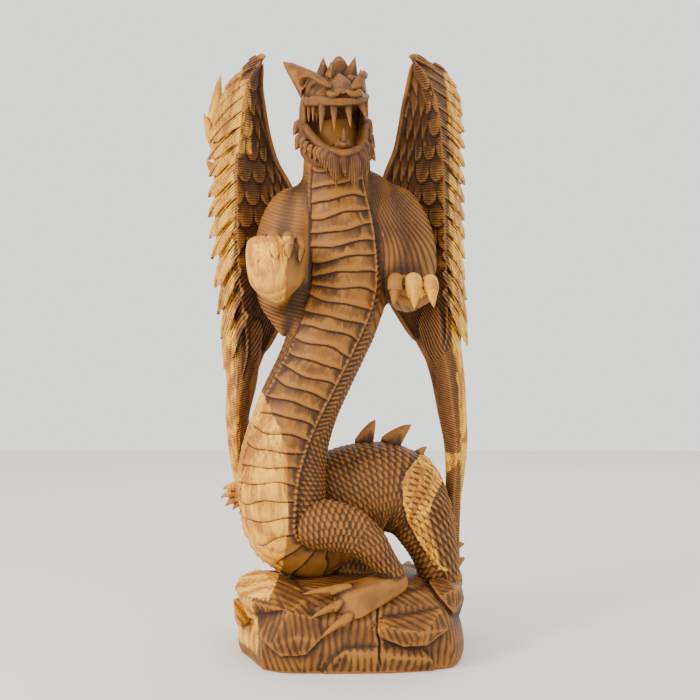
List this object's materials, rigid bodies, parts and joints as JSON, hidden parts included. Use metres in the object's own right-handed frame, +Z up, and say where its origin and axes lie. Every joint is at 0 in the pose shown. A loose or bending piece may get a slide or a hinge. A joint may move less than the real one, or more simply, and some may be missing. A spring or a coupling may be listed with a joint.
{
  "type": "wooden dragon sculpture",
  "caption": "Suar wood carving of a winged dragon rearing over a rock, an orb in its raised left-hand claw, carved from one log with its base",
  "frame": {"origin": "middle of the flat underside of the rock base", "axes": "+X to the viewer's right when facing the dragon, +Y to the dragon's back, +Z up from the base to the wing tips"},
  "size_m": [0.4584, 0.4077, 0.9986],
  "materials": {
    "carved_wood": "satin, oiled"
  },
  "bodies": {
    "root": {"dragon_on_rock": "carved_wood"}
  },
  "joints": []
}
